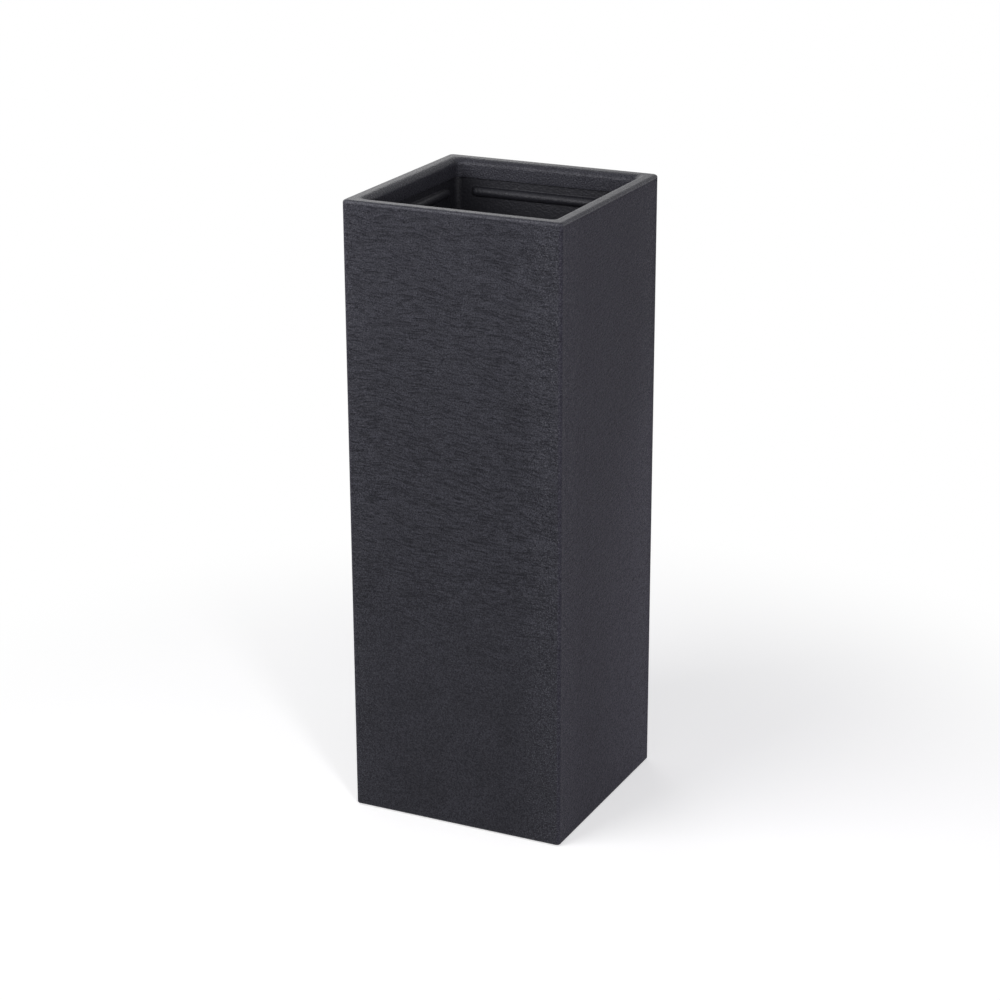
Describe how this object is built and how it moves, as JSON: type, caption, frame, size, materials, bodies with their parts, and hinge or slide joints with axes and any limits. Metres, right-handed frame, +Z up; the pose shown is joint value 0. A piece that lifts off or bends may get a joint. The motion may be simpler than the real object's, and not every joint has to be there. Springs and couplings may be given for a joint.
{
  "type": "tall square floor planter",
  "caption": "Tall square column planter in double-walled plastic with a rolled rim, an inner liner, a lift-out perforated shelf, a drain plug, and a screwed base plate on foot pads.",
  "frame": {"origin": "on the floor, at the centre of the footprint", "axes": "+Z up, -Y towards the front face, +X to the right seen from the front"},
  "size_m": [0.29, 0.29, 0.8],
  "materials": {
    "body_plastic": "dark slate grey, fine slate-like grain on the outside, smooth rim",
    "liner_plastic": "dark slate grey, fine moulded grain",
    "shelf_plastic": "black, smooth moulded",
    "base_plastic": "black, fine moulded grain",
    "plug_plastic": "black, smooth moulded",
    "screw_steel": "zinc plated",
    "seal_rubber": "matt",
    "foot_rubber": "matt"
  },
  "bodies": {
    "planter_body": {"outer_shell": "body_plastic", "inner_liner": "liner_plastic", "base_plate": "base_plastic", "base_screw_front_left": "screw_steel", "base_screw_front_right": "screw_steel", "base_screw_back_left": "screw_steel", "base_screw_back_right": "screw_steel", "foot_front_left": "foot_rubber", "foot_front_right": "foot_rubber", "foot_back_left": "foot_rubber", "foot_back_right": "foot_rubber"},
    "shelf": {"planting_shelf": "shelf_plastic"},
    "plug": {"drain_plug": "plug_plastic", "plug_seal": "seal_rubber"}
  },
  "joints": [
    {"name": "shelf_lift", "type": "slide", "parent": "planter_body", "child": "shelf", "axis": [0, 0, 1], "range_m": [0, 0.46]},
    {"name": "plug_lift", "type": "slide", "parent": "planter_body", "child": "plug", "axis": [0, 0, 1], "range_m": [0, 0.08]}
  ]
}
